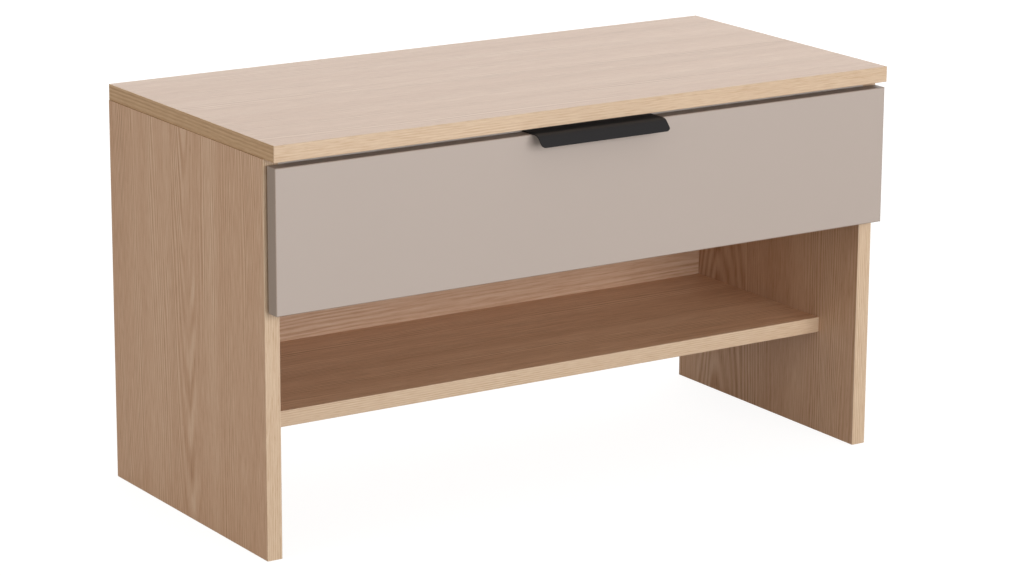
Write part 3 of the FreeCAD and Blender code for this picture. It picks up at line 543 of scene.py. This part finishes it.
def ball_cage_tree():
    """Node tree: a row of balls, each in a collar of the cage, at every point of the mesh."""
    tree = bpy.data.node_groups.new("ball_cage", "GeometryNodeTree")
    sockets = [("Row starts", "INPUT", "Geometry"), ("Balls", "INPUT", "Int"),
               ("Pitch", "INPUT", "Float"), ("Ball radius", "INPUT", "Float"),
               ("Collar radius", "INPUT", "Float"), ("Collar width", "INPUT", "Float"),
               ("Collar height", "INPUT", "Float"), ("Ball finish", "INPUT", "Material"),
               ("Cage finish", "INPUT", "Material"), ("Cages", "OUTPUT", "Geometry")]
    for name, direction, kind in sockets:
        tree.interface.new_socket(name=name, in_out=direction, socket_type="NodeSocket" + kind)
    given = add(tree, "NodeGroupInput").outputs
    step = add(tree, "ShaderNodeCombineXYZ", links={"Y": given["Pitch"]})
    row = add(tree, "GeometryNodeMeshLine", links={"Count": given["Balls"],
                                                   "Offset": step.outputs[0]})
    ball = add(tree, "GeometryNodeMeshIcoSphere", {"Subdivisions": BALL_SUBDIVISIONS},
               {"Radius": given["Ball radius"]})
    smooth = add(tree, "GeometryNodeSetShadeSmooth", links={"Geometry": ball.outputs["Mesh"]})
    ring = add(tree, "GeometryNodeCurvePrimitiveCircle", {"Resolution": COLLAR_SIDES},
               {"Radius": given["Collar radius"]})
    section = add(tree, "GeometryNodeCurvePrimitiveQuadrilateral",
                  links={"Width": given["Collar width"], "Height": given["Collar height"]})
    collar = add(tree, "GeometryNodeCurveToMesh",
                 links={"Curve": ring.outputs["Curve"], "Profile Curve": section.outputs["Curve"]})
    kinds = []
    for part, finish_name in ((smooth, "Ball finish"), (collar, "Cage finish")):
        in_row = add(tree, "GeometryNodeInstanceOnPoints",
                     links={"Points": row.outputs["Mesh"], "Instance": part.outputs[0]})
        rows = add(tree, "GeometryNodeInstanceOnPoints",
                   links={"Points": given["Row starts"], "Instance": in_row.outputs[0]})
        real = add(tree, "GeometryNodeRealizeInstances", links={"Geometry": rows.outputs[0]})
        kinds.append(add(tree, "GeometryNodeSetMaterial",
                         links={"Geometry": real.outputs[0], "Material": given[finish_name]}))
    joined = add(tree, "GeometryNodeJoinGeometry")
    for kind in reversed(kinds):
        tree.links.new(kind.outputs[0], joined.inputs[0])
    add(tree, "NodeGroupOutput", links={"Cages": joined.outputs[0]})
    return tree


def make_ball_cages(side, tree):
    """Four rows of balls on a middle member: two rear ones run in the cabinet member, two
    front ones carry the drawer member."""
    cabinet, middle, drawer = (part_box("runner_%s_%s" % (member, side))
                               for member in ("cabinet", "middle", "drawer"))
    row_length = (BALLS_IN_ROW - 1) * BALL_PITCH
    rows = []
    for larger, smaller, start in (
            (cabinet, middle, middle[1].y - CAGE_END_GAP - row_length),
            (middle, drawer, middle[0].y + CAGE_END_GAP)):
        x = (max(larger[0].x, smaller[0].x) + min(larger[1].x, smaller[1].x)) / 2
        upper = (larger[1].z - RUNNER_SHEET + smaller[1].z) / 2
        lower = (larger[0].z + RUNNER_SHEET + smaller[0].z) / 2
        rows += [(x, start, upper), (x, start, lower)]
    data = bpy.data.meshes.new("ball_cages_" + side)
    data.from_pydata(rows, [], [])
    piece = bpy.data.objects.new("ball_cages_" + side, data)
    bpy.context.scene.collection.objects.link(piece)
    values = {"Balls": BALLS_IN_ROW, "Pitch": BALL_PITCH, "Ball radius": BALL_RADIUS,
              "Collar radius": COLLAR_RADIUS, "Collar width": COLLAR_SECTION[0],
              "Collar height": COLLAR_SECTION[1], "Ball finish": BALL_STEEL,
              "Cage finish": RUNNER_ZINC}
    modifier = piece.modifiers.new("cages", "NODES")
    modifier.node_group = tree
    for item in tree.interface.items_tree:
        if item.name in values:
            modifier[item.identifier] = values[item.name]
    evaluated = piece.evaluated_get(bpy.context.evaluated_depsgraph_get())
    mesh = bpy.data.meshes.new_from_object(evaluated)
    piece.modifiers.clear()
    piece.data = mesh
    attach(piece, "runner_middle_" + side)


CAGE_TREE = ball_cage_tree()
for runner_side in ("left", "right"):
    make_ball_cages(runner_side, CAGE_TREE)

# ------------------------------------------------------------------ floor, light and camera
FLOOR_HALF = 9.0
FLOOR_LEVEL = -0.2 * MM
FLOOR_GLOW = 0.74  # share of the floor's brightness to the eye that is even
FLOOR_SHINE = 1.2
FLOOR_BOUNCE = 0.5  # how much light it throws back onto the bench
CLOUD_SIZE = 0.8

WORLD_LIGHT = 0.52
WORLD_TINT = "FFFBF5"
WORLD_SEEN = 1.1

# name, place, aim, width, height, watts, tint
LIGHTS = [
    ("front_softbox", (0.4, -4.2, 1.2), (0.0, 0.0, 0.25), 3.2, 2.0, 111.0, WHITE),
    ("side_fill", (-4.2, -0.4, 1.3), (0.0, 0.0, 0.25), 2.0, 1.6, 29.0, "FFFAF2"),
    ("backdrop", (2.0, 3.1, 1.5), (0.0, 0.0, 0.45), 5.0, 3.0, 73.0, WHITE),
]

CAMERA_SPOT = (-2.2684, -3.5017, 1.3244)
CAMERA_YAW = math.radians(-33.005)
CAMERA_PITCH = math.radians(-14.812)
CAMERA_ROLL = math.radians(0.304)
CAMERA_LENS = 126.2215  # in mm, as the sensor's width is
SENSOR_WIDTH = 36.0
VIEW_END = 60.0


def make_floor():
    """Plain pale studio floor, bright to the eye and a little dimmer as a reflector.

    It is clear from below, so that the bench's underside can be looked at."""
    data = bpy.data.meshes.new("studio_floor")
    corners = [(x * FLOOR_HALF, y * FLOOR_HALF, FLOOR_LEVEL)
               for x, y in ((-1, -1), (1, -1), (1, 1), (-1, 1))]
    data.from_pydata(corners, [], [(0, 1, 2, 3)])
    material, tree = new_material("pale_studio_floor")
    cloud = streaks(tree, "X", CLOUD_SIZE, CLOUD_SIZE)
    colour = add(tree, "ShaderNodeValToRGB", {"stops": [(0.2, "F4F4F3"), (0.8, "F8F8F7")]},
                 {"Fac": cloud})
    matt = add(tree, "ShaderNodeBsdfDiffuse", links={"Color": colour.outputs["Color"]})
    glow = add(tree, "ShaderNodeEmission", {"Color": linear(WHITE), "Strength": FLOOR_SHINE})
    seen = add(tree, "ShaderNodeMixShader", {0: FLOOR_GLOW},
               {1: matt.outputs[0], 2: glow.outputs[0]})
    bounce = add(tree, "ShaderNodeBsdfDiffuse", {"Color": [FLOOR_BOUNCE] * 3 + [1.0]})
    path = add(tree, "ShaderNodeLightPath")
    upper = add(tree, "ShaderNodeMixShader", links={
        0: path.outputs["Is Camera Ray"], 1: bounce.outputs[0], 2: seen.outputs[0]})
    side = add(tree, "ShaderNodeNewGeometry")
    clear = add(tree, "ShaderNodeBsdfTransparent")
    finish_material(tree, add(tree, "ShaderNodeMixShader", links={
        0: side.outputs["Backfacing"], 1: upper.outputs[0], 2: clear.outputs[0]}))
    coat(data, material)
    floor = bpy.data.objects.new("studio_floor", data)
    bpy.context.scene.collection.objects.link(floor)


def area_light(name, spot, aim, width, height, power, tint):
    """Rectangular soft light aimed at a point."""
    light = bpy.data.lights.new(name, "AREA")
    light.color = linear(tint)[:3]
    light.shape = "RECTANGLE"
    light.size = width
    light.size_y = height
    light.energy = power
    lamp = bpy.data.objects.new(name, light)
    lamp.location = spot
    lamp.visible_camera = False
    lamp.rotation_euler = (Vector(aim) - Vector(spot)).to_track_quat("-Z", "Y").to_euler()
    bpy.context.scene.collection.objects.link(lamp)


def make_world():
    """Even studio surroundings, white to the eye and slightly warm as a light."""
    world = bpy.data.worlds.new("studio")
    world.use_nodes = True
    tree = world.node_tree
    tree.nodes.clear()
    seen = add(tree, "ShaderNodeLightPath").outputs["Is Camera Ray"]
    bright = add(tree, "ShaderNodeMapRange", {"To Min": WORLD_LIGHT, "To Max": WORLD_SEEN},
                 {"Value": seen})
    colour = add(tree, "ShaderNodeMix",
                 {"data_type": "RGBA", 6: linear(WORLD_TINT), 7: linear(WHITE)}, {0: seen})
    back = add(tree, "ShaderNodeBackground",
               links={"Color": colour.outputs[2], "Strength": bright.outputs["Result"]})
    add(tree, "ShaderNodeOutputWorld", links={"Surface": back.outputs[0]})
    bpy.context.scene.world = world


def make_camera():
    """Long lens, looking down a little at the bench's front and left side."""
    data = bpy.data.cameras.new("camera")
    data.sensor_width = SENSOR_WIDTH
    data.lens = CAMERA_LENS
    data.clip_end = VIEW_END
    camera = bpy.data.objects.new("camera", data)
    forward = Vector((-math.sin(CAMERA_YAW) * math.cos(CAMERA_PITCH),
                      math.cos(CAMERA_YAW) * math.cos(CAMERA_PITCH), math.sin(CAMERA_PITCH)))
    right = Vector((math.cos(CAMERA_YAW), math.sin(CAMERA_YAW), 0.0))
    up = right.cross(forward)
    turned_right = right * math.cos(CAMERA_ROLL) + up * math.sin(CAMERA_ROLL)
    turned_up = up * math.cos(CAMERA_ROLL) - right * math.sin(CAMERA_ROLL)
    turn = Matrix((turned_right, turned_up, -forward)).transposed()
    camera.matrix_world = Matrix.Translation(CAMERA_SPOT) @ turn.to_4x4()
    bpy.context.scene.collection.objects.link(camera)
    bpy.context.scene.camera = camera


make_floor()
make_world()
for studio_light in LIGHTS:
    area_light(*studio_light)
make_camera()
bpy.context.scene.view_settings.view_transform = "Standard"

bpy.context.view_layer.update()
